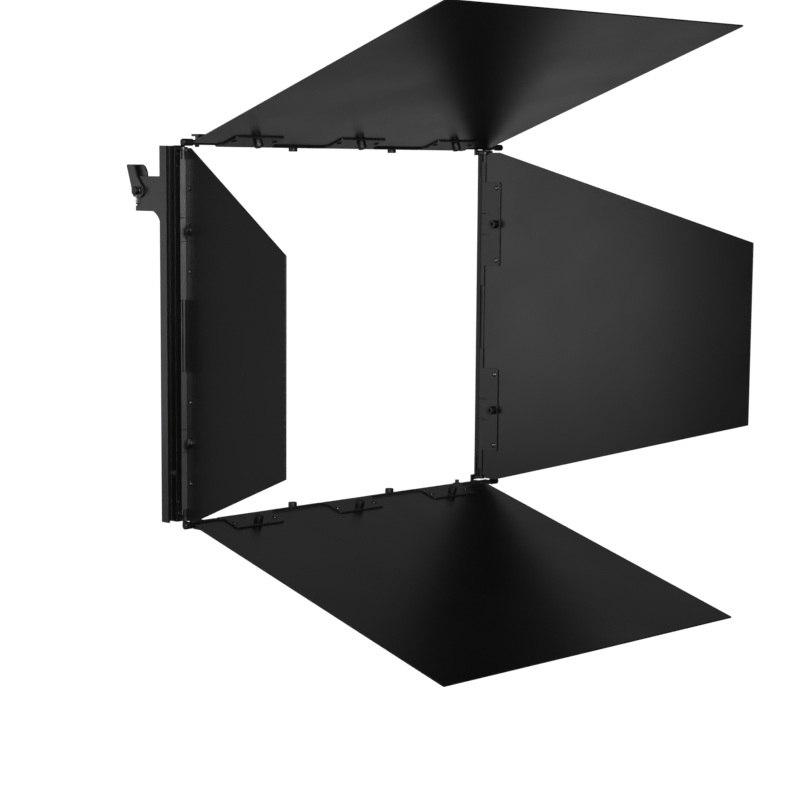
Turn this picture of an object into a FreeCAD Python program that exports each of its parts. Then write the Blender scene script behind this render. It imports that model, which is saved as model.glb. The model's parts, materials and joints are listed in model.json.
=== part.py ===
import FreeCAD, Part
import math
import os

from FreeCAD import Placement, Rotation, Vector

# Barn door attachment for a soft-light panel: a light frame carries four hinged metal leaves.
# Frame: origin at the centre of the opening on the seat plane, where the rails lie on the lamp.
# +X is to the right and -Y is towards the beam, seen from in front; +Z is up. Millimetres.

# Opening and hinge rods
HINGE_X = 190.3            # side rods, from the centre line
HINGE_Z = 166.0            # top and bottom rods, from the centre line
LONG_ROD_Y = -17.0         # depth of the top and bottom rods
SIDE_ROD_Y = -13.0         # depth of the side rods, behind the long ones
ROD_R = 2.25
ROD_BORE_R = 2.3           # running bore of the knuckles
HELD_BORE_R = 2.27         # snug bore of the fixed holders

# Leaves
SHEET = 1.2                # thickness of the leaf metal
SHEET_INSET = 1.1          # from the rod axis to the outer face of the sheet
LONG_REACH = 320.4         # rod axis to free edge, top and bottom leaves
LONG_HALF = 187.5
LONG_START = 5.0           # where the sheet begins, from the rod axis
SIDE_REACH = 312.0         # rod axis to free edge, side leaves
SIDE_TIP_HALF = 81.6
SIDE_SLOPE = 0.2721        # how fast a side leaf narrows towards its free edge
SIDE_ROOT_HALF = 166.5     # half height of that taper at the rod axis
SIDE_CORNER_HALF = 161.0   # blunted root corner, clear of the rod caps
SIDE_CORNER_AT = 8.0
SIDE_START = 4.0
SIDE_START_HALF = 157.5
TIP_CORNER_R = 1.0

# Opening angle of each leaf, from closed flat over the opening
OPEN_TOP = 109.3
OPEN_BOTTOM = 106.3
OPEN_LEFT = 115.9
OPEN_RIGHT = 92.9

# Hinge plates: a strap folded round the rod, with a sprung friction tab in its middle
PLATE = 1.3                # thickness of the strap
KNUCKLE_R = ROD_BORE_R + PLATE
SLIT = 0.5
SLIT_DEPTH = 11.0
LONG_PLATES_X = (-125.0, 0.0, 125.0)
LONG_KNUCKLE_HALF = 31.0
LONG_FLAT_HALF = 28.0
LONG_PLATE_REACH = 23.0
LONG_TAB_HALF = 8.0
LONG_RIVET_X = 23.5
LONG_RIVET_AT = 13.5
LONG_SCREW_AT = 18.0
SIDE_PLATES_Z = (-91.5, 91.5)
SIDE_KNUCKLE_HALF = 60.2
SIDE_FLAT_HALF = 40.9
SIDE_PLATE_REACH = 22.8
SIDE_TAB_HALF = 10.25
SIDE_RIVET_X = 35.3
SIDE_RIVET_AT = 18.5
SIDE_SCREW_AT = 18.2
PLATE_CORNER_R = 2.0

# Fasteners
RIVET_R = 1.45
RIVET_HOLE_R = 1.5
RIVET_HEAD_R = 2.4
RIVET_HEAD_H = 1.1
RIVET_DOME_R = 0.8
RIVET_TAIL_R = 2.0
RIVET_TAIL_H = 0.9
TENSION_R = 2.5            # M5 friction screw
TENSION_HOLE_R = 2.6
TENSION_HEAD_R = 4.0
TENSION_HEAD_H = 6.5
TENSION_SOCKET = 3.0       # hexagon across flats
TENSION_SOCKET_DEPTH = 3.0
TENSION_CHAMFER = 0.5
WASHER_R = 5.0
WASHER_H = 0.8
NUT_ACROSS = 8.0
NUT_H = 2.6
TAIL_H = 0.35

# Side rails: open channels, with their webs on the lamp
RAIL_OUTER = 206.0
RAIL_WALL = 2.0
RAIL_GROOVE = 7.5
RAIL_LIP_X = 190.0         # inner edge of the front lip
RAIL_HALF = 163.0
FRAME_FRONT = -9.0         # front plane of rails and bars
RAIL_SCREW_Z = 120.0
RAIL_SCREW_HOLE_R = 2.25
RAIL_SCREW_X = RAIL_OUTER - RAIL_WALL - RAIL_GROOVE / 2

# Top and bottom bars: angle sections
BAR_HALF = 170.5
BAR_LOW = 165.5
BAR_HIGH = 173.4
BAR_WALL = 2.0

# Corner plates behind the lip and the bar
CORNER_OUTER = 194.4
CORNER_LEG_X = 189.0       # inner edge of the upright leg
CORNER_LEG_LOW = 140.0
CORNER_LEG_HIGH = 163.4
CORNER_NECK_X = 183.5      # inner edge of the neck that steps round the opening's corner
CORNER_NECK_OUTER = 186.5
CORNER_NECK_LOW = 158.5
CORNER_NECK_HIGH = 168.4
CORNER_ARM_X = 150.0       # inner end of the level leg
CORNER_ARM_OUTER = 170.5
CORNER_ARM_LOW = 165.2
CORNER_HIGH = 171.3
CORNER_T = 2.0
CORNER_BACK = FRAME_FRONT + RAIL_WALL + CORNER_T
CORNER_PLAY = 0.2          # gap between the rod tab and the rail's lip
ROD_TAB_LOW = 159.5        # folded tab that holds a side rod's end
ROD_TAB_HIGH = 162.0
ROD_TAB_R = 4.0
ROD_TAB_STEP_Y = -9.3      # where the tab widens, in front of the rail
SIDE_ROD_HALF = 162.2
SCREW_TAB_X = 166.5        # folded tab for the small upright screw
SCREW_TAB_HALF = 3.5
SCREW_TAB_BACK = -0.5
SCREW_TAB_R = 1.5
SCREW_TAB_HEAD_R = 2.0
SCREW_TAB_HEAD_H = 3.0
SCREW_TAB_LENGTH = 2.8
SCREW_TAB_SOCKET = 2.0
FLAT_SCREW_R = 1.1
FLAT_HEAD_R = 2.1
FLAT_HEAD_H = 1.0
FLAT_SCREWS_AT = [(-192.8, 146.0), (-192.8, 156.0), (-166.5, 169.0), (-154.0, 169.0)]
SCREW_PLAY = 0.03
CAP_SCREW_CHAMFER = 0.4

# Holders of the long rods
HOLDER_X = 62.5
HOLDER_HALF = 29.0
HOLDER_R = 3.7
HOLDER_ARM_LOW = 164.0
HOLDER_SCREW_Y = -11.8
HOLDER_SCREW_R = 2.0
HOLDER_SCREW_HEAD_R = 4.0
HOLDER_SCREW_HEAD_H = 4.6
HOLDER_SCREW_SOCKET = 3.0
HOLDER_SCREW_END = 167.6
HOLDER_SEAT_PLAY = 0.1
LUG_INNER = 183.5
LUG_OUTER = 194.6
LUG_ARM_OUTER = 188.5
LUG_R = 3.1
LUG_ROUND_R = 0.6
LUG_ARM_LOW = 164.0        # just clear of the end of the rail
LUG_ARM_HIGH = 168.0
CAP_START = 201.0
CAP_END = 209.8
CAP_R = 3.0
CAP_ROUND_R = 1.2
CAP_WALL = 2.0             # closed end of the cap
LONG_ROD_END = 207.6

# Safety latch on the left rail
EAR_LOW = 107.0
EAR_HIGH = 137.0
EAR_BACK = 33.0
EAR_ROOT_Y = 8.9           # where the gusset meets the lower edge of the ear
EAR_ROOT_Z = 92.5          # where the gusset meets the rail
EAR_BEND = (2.6, 102.5)    # a point on the gusset's curve, in Y and Z
EAR_NOTCH_Y = 27.0         # notch in the back edge, where the spring is
EAR_NOTCH_LOW = 111.5
EAR_NOTCH_HIGH = 118.0
EAR_BEVEL_Y = 28.5
EAR_BEVEL_Z = 132.0
PIVOT_Y = 26.7
PIVOT_Z = 124.5
PIVOT_R = 2.0
PIVOT_HOLE_R = 2.05
PIVOT_HEAD_R = 3.6
PIVOT_HEAD_H = 3.0
PIVOT_CHAMFER = 0.4
PIVOT_SLOT = 1.0
PIVOT_SLOT_DEPTH = 1.0
CLINCH_R = 3.2             # spread end of the pivot, behind the inner cheek
CLINCH_T = 1.6
LEVER_T = 1.6
LEVER_GAP = 0.4
LEVER_FOOT = [(21.5, 121.0), (25.0, 118.3), (34.0, 119.3)]
LEVER_THUMB = [(42.9, 146.0), (41.6, 147.0)]
LEVER_NECK = [(34.0, 147.0), (33.2, 146.0), (29.5, 137.0), (25.0, 131.5), (21.5, 128.0)]
CATCH_FOOT = [(21.5, 121.0), (24.2, 111.6), (25.4, 110.6), (33.2, 110.6), (34.4, 111.8), (34.4, 120.5)]
CATCH_NECK = [(27.2, 147.0), (24.3, 145.9), (22.1, 143.2), (20.6, 140.5), (20.1, 136.0), (21.5, 128.0)]
LEVER_WEB = [(40.3, 138.0), (42.9, 146.0), (41.6, 147.0), (40.6, 147.0), (38.4, 140.0), (38.4, 138.0)]
LATCH_PLAY = 0.1
LATCH_NOSE_FRONT = 33.3    # the nose catches behind the lamp's frame
LATCH_NOSE_BACK = 34.6
LATCH_NOSE_LOW = 119.4
LATCH_NOSE_REACH = 3.0
SPRING_GAP = 2.4           # room for the coil between the lever and the pivot's head
SPRING_WIRE_R = 0.45
SPRING_R = 2.9
SPRING_TURN = 300.0
SPRING_LEG_END = 113.1
SPRING_BEND_R = 0.9
SPRING_HOOK_X = -205.0

HALF_TURN = 180.0
QUARTER_TURN = 90.0
REACH_THROUGH = 30.0       # longer than any wall that a hole goes through
BITE = 0.1                 # overlap where two shapes are joined into one solid


def block(low, high):
    """A box from its lowest to its highest corner."""
    size = Vector(*high) - Vector(*low)
    return Part.makeBox(size.x, size.y, size.z, Vector(*low))


def rod(radius, start, end):
    """A cylinder between two points."""
    along = Vector(*end) - Vector(*start)
    return Part.makeCylinder(radius, along.Length, Vector(*start), along)


def outline(points, thickness):
    """A flat plate: a closed polygon pushed along the thickness vector."""
    loop = [Vector(*p) for p in points]
    face = Part.Face(Part.makePolygon(loop + loop[:1]))
    return face.extrude(Vector(*thickness))


def hexagon(across, start, end):
    """A hexagonal prism between two points on a line parallel to Y."""
    corner_r = across / math.sqrt(3)
    points = [
        (
            start[0] + corner_r * math.cos(math.radians(60 * i)),
            start[1],
            start[2] + corner_r * math.sin(math.radians(60 * i)),
        )
        for i in range(6)
    ]
    return outline(points, (0, end[1] - start[1], 0))


def round_edges(shape, radius, wanted):
    """Fillets the edges whose middle point passes the test."""
    chosen = [e for e in shape.Edges if wanted(e.BoundBox.Center, e)]
    return shape.makeFillet(radius, chosen)


def along_y(edge):
    """True for a straight edge parallel to Y."""
    return edge.BoundBox.XLength < 1e-6 and edge.BoundBox.ZLength < 1e-6


def mirrored_x(shape):
    return shape.mirror(Vector(0, 0, 0), Vector(1, 0, 0))


def mirrored_z(shape):
    return shape.mirror(Vector(0, 0, 0), Vector(0, 0, 1))


def save(name, *shapes):
    """Writes one node: a solid, or a group of separate solids."""
    solids = [solid for shape in shapes for solid in shape.Solids]
    node = solids[0] if len(solids) == 1 else Part.makeCompound(solids)
    node.exportStep("parts/" + name + ".step")


# Leaves are drawn closed: the rod along X, the sheet hanging towards -Z, the lamp side towards +Y.

def leaf_hole(radius, x, at):
    return rod(radius, (x, -REACH_THROUGH, -at), (x, REACH_THROUGH, -at))


def leaf_sheet(points, plates, rivets, rivet_at, screw_at):
    """The metal of a leaf, with holes for its hinge rivets and friction screws."""
    loop = [(x, SHEET_INSET, -at) for x, at in points]
    sheet = outline(loop, (0, SHEET, 0))
    tip = min(z for x, y, z in loop)
    sheet = round_edges(sheet, TIP_CORNER_R, lambda c, e: along_y(e) and abs(c.z - tip) < 1e-6)
    for middle in plates:
        sheet = sheet.cut(leaf_hole(TENSION_HOLE_R, middle, screw_at))
        for side in (-1, 1):
            sheet = sheet.cut(leaf_hole(RIVET_HOLE_R, middle + side * rivets, rivet_at))
    return sheet


def hinge_plate(middle, knuckle_half, flat_half, tab_half, reach, rivets, rivet_at, screw_at):
    """A strap folded round the rod, flat on the lamp side of the sheet, slit to free its middle tab."""
    low, high = middle - knuckle_half, middle + knuckle_half
    inner = SHEET_INSET + SHEET
    flat = block((middle - flat_half, inner, -reach), (middle + flat_half, inner + PLATE, 0))
    flat = round_edges(flat, PLATE_CORNER_R, lambda c, e: along_y(e) and c.z < -reach / 2)
    knuckle = rod(KNUCKLE_R, (low, 0, 0), (high, 0, 0))
    knuckle = knuckle.fuse(block((low, -KNUCKLE_R, -KNUCKLE_R), (high, KNUCKLE_R, 0)))
    plate = flat.fuse(knuckle).cut(rod(ROD_BORE_R, (low - 1, 0, 0), (high + 1, 0, 0)))
    for side in (-1, 1):
        slit_x = middle + side * tab_half
        plate = plate.cut(
            block(
                (slit_x - SLIT / 2, -REACH_THROUGH, -SLIT_DEPTH),
                (slit_x + SLIT / 2, REACH_THROUGH, REACH_THROUGH),
            )
        )
        plate = plate.cut(leaf_hole(RIVET_HOLE_R, middle + side * rivets, rivet_at))
    return plate.cut(leaf_hole(TENSION_HOLE_R, middle, screw_at)).removeSplitter()


def hinge_rivet(x, at):
    """A domed rivet through strap and sheet."""
    face = SHEET_INSET + SHEET + PLATE
    head = rod(RIVET_HEAD_R, (x, face, -at), (x, face + RIVET_HEAD_H, -at))
    head = round_edges(head, RIVET_DOME_R, lambda c, e: e.isClosed() and c.y > face + RIVET_HEAD_H / 2)
    shank = rod(RIVET_R, (x, SHEET_INSET - BITE, -at), (x, face + BITE, -at))
    tail = rod(RIVET_TAIL_R, (x, SHEET_INSET - RIVET_TAIL_H, -at), (x, SHEET_INSET, -at))
    return head.fuse(shank).fuse(tail).removeSplitter()


def tension_screw(x, at):
    """A socket screw that sets how tightly the friction tab grips the rod."""
    face = SHEET_INSET + SHEET + PLATE
    top = face + TENSION_HEAD_H
    head = rod(TENSION_HEAD_R, (x, face, -at), (x, top, -at))
    rim = [e for e in head.Edges if e.isClosed() and e.BoundBox.Center.y > face + TENSION_HEAD_H / 2]
    head = head.makeChamfer(TENSION_CHAMFER, rim)
    socket = hexagon(TENSION_SOCKET, (x, top - TENSION_SOCKET_DEPTH, -at), (x, top + BITE, -at))
    tail_y = SHEET_INSET - WASHER_H - NUT_H - TAIL_H
    shank = rod(TENSION_R, (x, tail_y, -at), (x, face + BITE, -at))
    return head.fuse(shank).cut(socket).removeSplitter()


def tension_washer(x, at):
    washer = rod(WASHER_R, (x, SHEET_INSET - WASHER_H, -at), (x, SHEET_INSET, -at))
    return washer.cut(leaf_hole(TENSION_HOLE_R, x, at))


def tension_nut(x, at):
    top = SHEET_INSET - WASHER_H
    nut = hexagon(NUT_ACROSS, (x, top - NUT_H, -at), (x, top, -at))
    return nut.cut(leaf_hole(TENSION_R + SCREW_PLAY, x, at))


def long_leaf():
    """The pieces of the top or bottom leaf, closed."""
    points = [
        (-LONG_HALF, LONG_START),
        (LONG_HALF, LONG_START),
        (LONG_HALF, LONG_REACH),
        (-LONG_HALF, LONG_REACH),
    ]
    at = LONG_SCREW_AT
    rivet_xs = [x + side * LONG_RIVET_X for x in LONG_PLATES_X for side in (-1, 1)]
    return {
        "leaf_sheet": [leaf_sheet(points, LONG_PLATES_X, LONG_RIVET_X, LONG_RIVET_AT, at)],
        "hinge_plates": [
            hinge_plate(
                x,
                LONG_KNUCKLE_HALF,
                LONG_FLAT_HALF,
                LONG_TAB_HALF,
                LONG_PLATE_REACH,
                LONG_RIVET_X,
                LONG_RIVET_AT,
                at,
            )
            for x in LONG_PLATES_X
        ],
        "hinge_rivets": [hinge_rivet(x, LONG_RIVET_AT) for x in rivet_xs],
        "tension_screws": [tension_screw(x, at) for x in LONG_PLATES_X],
        "tension_washers": [tension_washer(x, at) for x in LONG_PLATES_X],
        "tension_nuts": [tension_nut(x, at) for x in LONG_PLATES_X],
    }


def side_leaf():
    """The pieces of a side leaf, closed."""
    taper_at = (SIDE_ROOT_HALF - SIDE_CORNER_HALF) / SIDE_SLOPE
    upper = [
        (SIDE_START_HALF, SIDE_START),
        (SIDE_CORNER_HALF, SIDE_CORNER_AT),
        (SIDE_CORNER_HALF, taper_at),
        (SIDE_TIP_HALF, SIDE_REACH),
    ]
    points = upper + [(-x, at) for x, at in reversed(upper)]
    at = SIDE_SCREW_AT
    rivet_xs = [x + side * SIDE_RIVET_X for x in SIDE_PLATES_Z for side in (-1, 1)]
    return {
        "leaf_sheet": [leaf_sheet(points, SIDE_PLATES_Z, SIDE_RIVET_X, SIDE_RIVET_AT, at)],
        "hinge_plates": [
            hinge_plate(
                x,
                SIDE_KNUCKLE_HALF,
                SIDE_FLAT_HALF,
                SIDE_TAB_HALF,
                SIDE_PLATE_REACH,
                SIDE_RIVET_X,
                SIDE_RIVET_AT,
                at,
            )
            for x in SIDE_PLATES_Z
        ],
        "hinge_rivets": [hinge_rivet(x, SIDE_RIVET_AT) for x in rivet_xs],
        "tension_screws": [tension_screw(x, at) for x in SIDE_PLATES_Z],
        "tension_washers": [tension_washer(x, at) for x in SIDE_PLATES_Z],
        "tension_nuts": [tension_nut(x, at) for x in SIDE_PLATES_Z],
    }


def save_leaf(side, pieces, roll, swing_axis, swing, corner):
    """Turns a closed leaf to its own side of the frame, opens it and writes its nodes."""
    turn_in_place = Rotation(Vector(0, 1, 0), roll)
    opened = Rotation(Vector(*swing_axis), swing).multiply(turn_in_place)
    place = Placement(Vector(*corner), opened)
    for name, shapes in pieces.items():
        moved = [shape.copy() for shape in shapes]
        for shape in moved:
            shape.Placement = place
        save(name + "_" + side, *moved)


# Frame

def rail_section(half):
    """The left rail: web on the lamp, outer wall, inner wall and front lip."""
    groove_inner = RAIL_OUTER - RAIL_WALL - RAIL_GROOVE
    web = block((-RAIL_OUTER, -RAIL_WALL, -half), (-groove_inner + RAIL_WALL, 0, half))
    outer = block((-RAIL_OUTER, FRAME_FRONT, -half), (-RAIL_OUTER + RAIL_WALL, 0, half))
    inner = block((-groove_inner, FRAME_FRONT, -half), (-groove_inner + RAIL_WALL, 0, half))
    lip = block((-groove_inner, FRAME_FRONT, -half), (-RAIL_LIP_X, FRAME_FRONT + RAIL_WALL, half))
    rail = web.fuse(outer).fuse(inner).fuse(lip).removeSplitter()
    for z in (-RAIL_SCREW_Z, RAIL_SCREW_Z):
        rail = rail.cut(rod(RAIL_SCREW_HOLE_R, (-RAIL_SCREW_X, FRAME_FRONT, z), (-RAIL_SCREW_X, 1, z)))
    return rail


def flat_screw(x, z, play=0.0):
    """A small countersunk screw, flush with the front of the frame."""
    head = Part.makeCone(
        FLAT_HEAD_R + play, FLAT_SCREW_R + play, FLAT_HEAD_H, Vector(x, FRAME_FRONT, z), Vector(0, 1, 0)
    )
    shank = rod(FLAT_SCREW_R + play, (x, FRAME_FRONT, z), (x, CORNER_BACK, z))
    return head.fuse(shank).removeSplitter()


def all_corners(shape):
    """The shape in the top left corner, and its copies in the other three."""
    top_right = mirrored_x(shape)
    return {
        "top_left": shape,
        "top_right": top_right,
        "bottom_left": mirrored_z(shape),
        "bottom_right": mirrored_z(top_right),
    }


def with_corner_holes(shape):
    """Cuts the countersunk holes of all four corners that reach the shape."""
    for x, z in FLAT_SCREWS_AT:
        for hole in all_corners(flat_screw(x, z, SCREW_PLAY)).values():
            shape = shape.cut(hole)
    return shape


def latch_ear():
    """The ear of the left rail that carries the safety latch, with its curved gusset."""
    outer = -RAIL_OUTER
    corners = [
        (EAR_ROOT_Y, EAR_LOW),
        (EAR_BACK, EAR_LOW),
        (EAR_BACK, EAR_NOTCH_LOW),
        (EAR_NOTCH_Y, EAR_NOTCH_LOW),
        (EAR_NOTCH_Y, EAR_NOTCH_HIGH),
        (EAR_BACK, EAR_NOTCH_HIGH),
        (EAR_BACK, EAR_BEVEL_Z),
        (EAR_BEVEL_Y, EAR_HIGH),
        (-RAIL_WALL, EAR_HIGH),
        (-RAIL_WALL, EAR_ROOT_Z),
    ]
    points = [Vector(outer, y, z) for y, z in corners]
    edges = [Part.LineSegment(a, b).toShape() for a, b in zip(points, points[1:])]
    edges.append(Part.Arc(points[-1], Vector(outer, *EAR_BEND), points[0]).toShape())
    ear = Part.Face(Part.Wire(edges)).extrude(Vector(RAIL_WALL, 0, 0))
    return ear.cut(
        rod(PIVOT_HOLE_R, (outer - BITE, PIVOT_Y, PIVOT_Z), (outer + REACH_THROUGH, PIVOT_Y, PIVOT_Z))
    )


def rails():
    left = with_corner_holes(rail_section(RAIL_HALF)).fuse(latch_ear()).removeSplitter()
    save("side_rail_left", left)
    save("side_rail_right", mirrored_x(with_corner_holes(rail_section(RAIL_HALF))))


def bars():
    web = block((-BAR_HALF, FRAME_FRONT, BAR_LOW), (BAR_HALF, FRAME_FRONT + BAR_WALL, BAR_HIGH))
    flange = block((-BAR_HALF, FRAME_FRONT, BAR_HIGH - BAR_WALL), (BAR_HALF, 0, BAR_HIGH))
    top = with_corner_holes(web.fuse(flange).removeSplitter())
    save("top_bar", top)
    save("bottom_bar", mirrored_z(top))


def upright_hole(radius, x, y):
    """A hole parallel to Z through whatever is at the top of the frame."""
    return rod(radius, (x, y, HINGE_Z - REACH_THROUGH), (x, y, HINGE_Z + REACH_THROUGH))


def screw_tab_y():
    """The middle of the folded tab for the small upright screw."""
    return (CORNER_BACK + SCREW_TAB_BACK) / 2


def corner_plate():
    """The top left corner plate, with its folded tabs for the side rod and the small screw."""
    front = FRAME_FRONT + RAIL_WALL
    back = CORNER_BACK
    plate = block((-CORNER_OUTER, front, CORNER_LEG_LOW), (-CORNER_LEG_X, back, CORNER_LEG_HIGH))
    flats = [
        ((-CORNER_OUTER, CORNER_NECK_LOW), (-CORNER_NECK_X, CORNER_LEG_HIGH)),
        ((-CORNER_NECK_OUTER, CORNER_NECK_LOW), (-CORNER_NECK_X, CORNER_NECK_HIGH)),
        ((-CORNER_NECK_OUTER, CORNER_ARM_LOW), (-CORNER_ARM_X, CORNER_NECK_HIGH)),
        ((-CORNER_ARM_OUTER, CORNER_ARM_LOW), (-CORNER_ARM_X, CORNER_HIGH)),
    ]
    for (x_low, z_low), (x_high, z_high) in flats:
        plate = plate.fuse(block((x_low, front, z_low), (x_high, back, z_high)))
    tab_outer = -HINGE_X - ROD_TAB_R
    tab_inner = -HINGE_X + ROD_TAB_R
    neck = block((-RAIL_LIP_X + CORNER_PLAY, ROD_TAB_STEP_Y, ROD_TAB_LOW), (tab_inner, back, ROD_TAB_HIGH))
    pad = block((tab_outer, SIDE_ROD_Y, ROD_TAB_LOW), (tab_inner, ROD_TAB_STEP_Y, ROD_TAB_HIGH))
    nose = rod(ROD_TAB_R, (-HINGE_X, SIDE_ROD_Y, ROD_TAB_LOW), (-HINGE_X, SIDE_ROD_Y, ROD_TAB_HIGH))
    screw_tab = block(
        (-SCREW_TAB_X - SCREW_TAB_HALF, back, CORNER_ARM_LOW),
        (-SCREW_TAB_X + SCREW_TAB_HALF, SCREW_TAB_BACK, CORNER_ARM_LOW + CORNER_T),
    )
    plate = plate.fuse(neck).fuse(pad).fuse(nose).fuse(screw_tab).removeSplitter()
    plate = plate.cut(upright_hole(HELD_BORE_R, -HINGE_X, SIDE_ROD_Y))
    plate = plate.cut(upright_hole(SCREW_TAB_R + SCREW_PLAY, -SCREW_TAB_X, screw_tab_y()))
    return with_corner_holes(plate)


def corner_pieces():
    for place, plate in all_corners(corner_plate()).items():
        save("corner_plate_" + place, plate)
    screws = []
    for x, z in FLAT_SCREWS_AT:
        screws += all_corners(flat_screw(x, z)).values()
    save("corner_screws", *screws)


def cap_screw(x, y, face, head_r, head_h, shank_r, shank_h, socket):
    """An upright socket screw whose head hangs below the face, towards the opening."""
    bottom = face - head_h
    head = rod(head_r, (x, y, bottom), (x, y, face))
    rim = [e for e in head.Edges if e.isClosed() and e.BoundBox.Center.z < face - head_h / 2]
    head = head.makeChamfer(CAP_SCREW_CHAMFER, rim)
    shank = rod(shank_r, (x, y, face - BITE), (x, y, face + shank_h))
    recess = hexagon(socket, (0, -BITE, 0), (0, head_h / 2, 0))
    recess.rotate(Vector(0, 0, 0), Vector(1, 0, 0), QUARTER_TURN)
    recess.translate(Vector(x, y, bottom))
    return head.fuse(shank).cut(recess).removeSplitter()


def held_bore(start, end):
    """A snug bore along the top rod."""
    return rod(HELD_BORE_R, (start, LONG_ROD_Y, HINGE_Z), (end, LONG_ROD_Y, HINGE_Z))


def rod_holder():
    """A fixed holder on the top rod, right of the centre line."""
    low, high = HOLDER_X - HOLDER_HALF, HOLDER_X + HOLDER_HALF
    sleeve = rod(HOLDER_R, (low, LONG_ROD_Y, HINGE_Z), (high, LONG_ROD_Y, HINGE_Z))
    arm = block((low, LONG_ROD_Y, HOLDER_ARM_LOW), (high, FRAME_FRONT, HINGE_Z + HOLDER_R))
    holder = sleeve.fuse(arm).removeSplitter().cut(held_bore(low - BITE, high + BITE))
    seat_bottom = (HOLDER_X, HOLDER_SCREW_Y, HOLDER_ARM_LOW - HOLDER_SCREW_HEAD_H)
    seat_r = HOLDER_SCREW_HEAD_R + HOLDER_SEAT_PLAY
    seat = rod(seat_r, seat_bottom, (HOLDER_X, HOLDER_SCREW_Y, HOLDER_ARM_LOW))
    thread_end = (HOLDER_X, HOLDER_SCREW_Y, HOLDER_SCREW_END + BITE)
    return holder.cut(seat).cut(rod(HOLDER_SCREW_R + SCREW_PLAY, seat_bottom, thread_end))


def rod_end_lug():
    """The sleeve that holds the right end of the top rod, and the arm that joins it to the frame."""
    sleeve = rod(LUG_R, (LUG_INNER, LONG_ROD_Y, HINGE_Z), (LUG_OUTER, LONG_ROD_Y, HINGE_Z))
    rims = [e for e in sleeve.Edges if e.isClosed()]
    sleeve = sleeve.makeFillet(LUG_ROUND_R, rims)
    arm_low = (LUG_INNER + LUG_ROUND_R, LONG_ROD_Y, LUG_ARM_LOW)
    arm = block(arm_low, (LUG_ARM_OUTER, FRAME_FRONT + RAIL_WALL, LUG_ARM_HIGH))
    lug = sleeve.fuse(arm).removeSplitter()
    return lug.cut(held_bore(LUG_INNER - BITE, LUG_OUTER + BITE))


def rod_cap():
    """The domed cap on the right end of the top rod."""
    cap = rod(CAP_R, (CAP_START, LONG_ROD_Y, HINGE_Z), (CAP_END, LONG_ROD_Y, HINGE_Z))
    rim = [e for e in cap.Edges if e.isClosed() and e.BoundBox.Center.x > CAP_END - CAP_WALL]
    return cap.makeFillet(CAP_ROUND_R, rim).cut(held_bore(CAP_START - BITE, CAP_END - CAP_WALL))


def long_rods():
    """Rods, holders, lugs, caps and their screws, along the top and mirrored along the bottom."""
    top_rod = rod(ROD_R, (-LUG_OUTER, LONG_ROD_Y, HINGE_Z), (LONG_ROD_END, LONG_ROD_Y, HINGE_Z))
    holder = rod_holder()
    lug = rod_end_lug()
    screw = cap_screw(
        HOLDER_X,
        HOLDER_SCREW_Y,
        HOLDER_ARM_LOW,
        HOLDER_SCREW_HEAD_R,
        HOLDER_SCREW_HEAD_H,
        HOLDER_SCREW_R,
        HOLDER_SCREW_END - HOLDER_ARM_LOW,
        HOLDER_SCREW_SOCKET,
    )
    tab_screw = cap_screw(
        -SCREW_TAB_X,
        screw_tab_y(),
        CORNER_ARM_LOW,
        SCREW_TAB_HEAD_R,
        SCREW_TAB_HEAD_H,
        SCREW_TAB_R,
        SCREW_TAB_LENGTH,
        SCREW_TAB_SOCKET,
    )
    top = {
        "hinge_rod": [top_rod],
        "rod_holders": [holder, mirrored_x(holder)],
        "rod_end_lugs": [lug, mirrored_x(lug)],
        "rod_cap": [rod_cap()],
        "holder_screws": [screw, mirrored_x(screw)],
        "corner_tab_screws": [tab_screw, mirrored_x(tab_screw)],
    }
    for name, shapes in top.items():
        save(name + "_top", *shapes)
        save(name + "_bottom", *[mirrored_z(shape) for shape in shapes])


def side_rods():
    for side, x in (("left", -HINGE_X), ("right", HINGE_X)):
        side_rod = rod(ROD_R, (x, SIDE_ROD_Y, -SIDE_ROD_HALF), (x, SIDE_ROD_Y, SIDE_ROD_HALF))
        save("hinge_rod_" + side, side_rod)


# Safety latch

def yz_plate(points, x, thickness):
    """A plate that lies square to X, from its outline in Y and Z."""
    return outline([(x, y, z) for y, z in points], (thickness, 0, 0))


def on_pivot(radius, start_x, end_x):
    """A cylinder on the latch's pivot line."""
    return rod(radius, (start_x, PIVOT_Y, PIVOT_Z), (end_x, PIVOT_Y, PIVOT_Z))


def latch_lever(outer_x, inner_x):
    """The folded lever outside the ear, with a thumb tab that reaches over to the catch."""
    cheek = yz_plate(LEVER_FOOT + LEVER_THUMB + LEVER_NECK, outer_x, LEVER_T)
    web = yz_plate(LEVER_WEB, outer_x, inner_x - outer_x)
    lever = cheek.fuse(web).removeSplitter()
    return lever.cut(on_pivot(PIVOT_HOLE_R, outer_x - BITE, inner_x))


def latch_catch(outer_x, inner_x):
    """The plate inside the ear, whose nose catches the lamp."""
    plate = yz_plate(CATCH_FOOT + LEVER_THUMB + CATCH_NECK, inner_x, LEVER_T)
    nose = block(
        (outer_x + LEVER_T + LATCH_PLAY, LATCH_NOSE_FRONT, LATCH_NOSE_LOW),
        (inner_x + LATCH_NOSE_REACH, LATCH_NOSE_BACK, PIVOT_Z),
    )
    catch = plate.fuse(nose).removeSplitter()
    return catch.cut(on_pivot(PIVOT_HOLE_R, inner_x - BITE, inner_x + REACH_THROUGH))


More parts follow.
